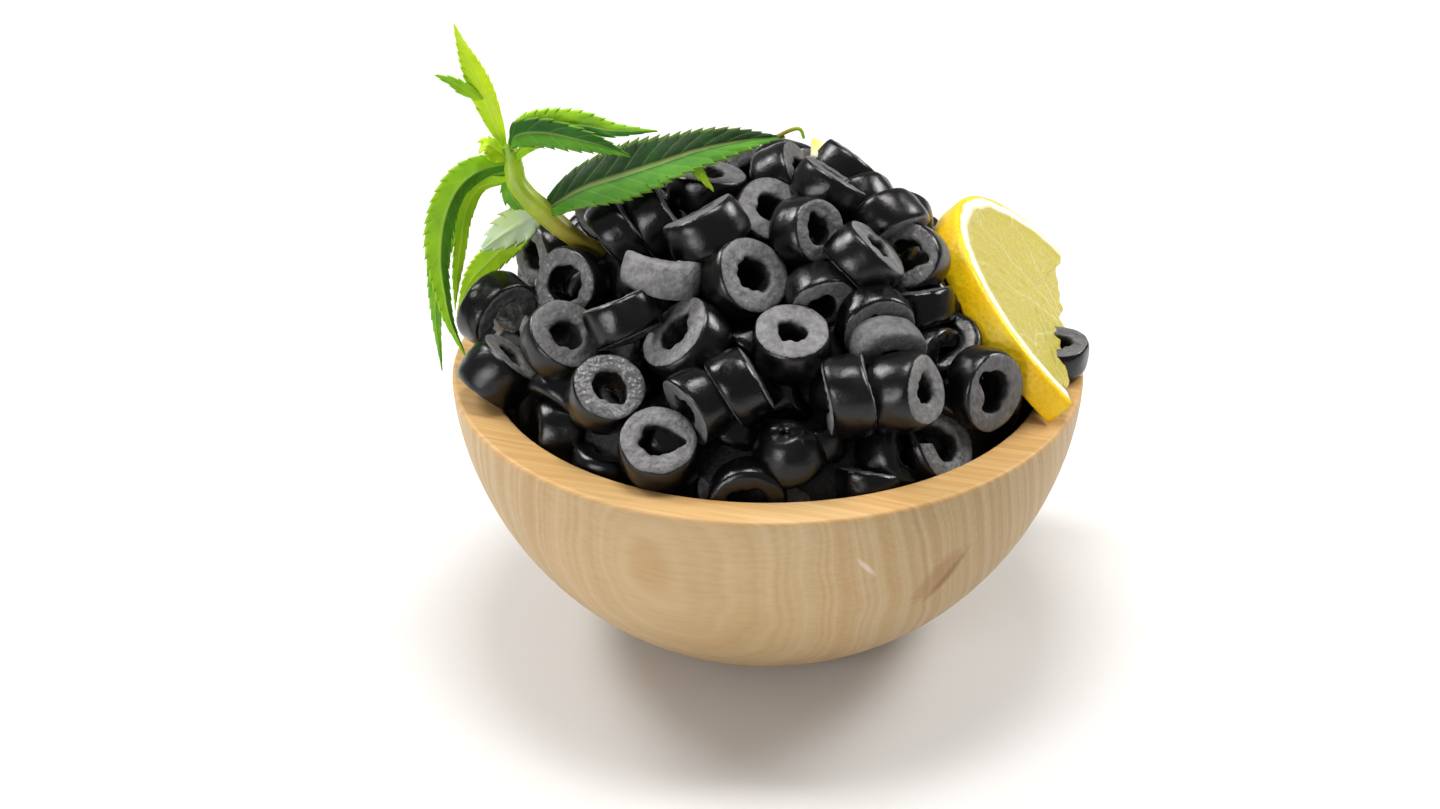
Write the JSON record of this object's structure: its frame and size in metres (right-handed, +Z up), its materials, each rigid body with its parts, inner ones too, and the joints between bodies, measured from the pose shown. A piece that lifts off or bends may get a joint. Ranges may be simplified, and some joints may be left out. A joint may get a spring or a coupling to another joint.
{
  "type": "dish of sliced black olives",
  "caption": "Turned wooden bowl heaped with sliced black olive rings, garnished with half slices of lemon and a sprig of mint.",
  "frame": {"origin": "middle of the bowl's foot, on the bowl's turning axis, at the level it stands on", "axes": "+Z up along the bowl's axis; +X to the side with the front lemon slice and away from the mint; -Y to the front, the side it is served from"},
  "size_m": [0.1253, 0.1196, 0.1217],
  "materials": {
    "bowl_wood": "fine turned and oiled, satin",
    "olive_flesh": "wet black skin, satin cut faces",
    "lemon_flesh": "waxy yellow rind, moist translucent pulp",
    "mint_leaf": "soft veined leaf, slightly glossy"
  },
  "bodies": {
    "root": {"bowl": "bowl_wood", "olive_heap": "olive_flesh", "olive_on_rim": "olive_flesh", "lemon_slice": "lemon_flesh", "lemon_slice_back": "lemon_flesh", "mint_sprig": "mint_leaf"}
  },
  "joints": []
}
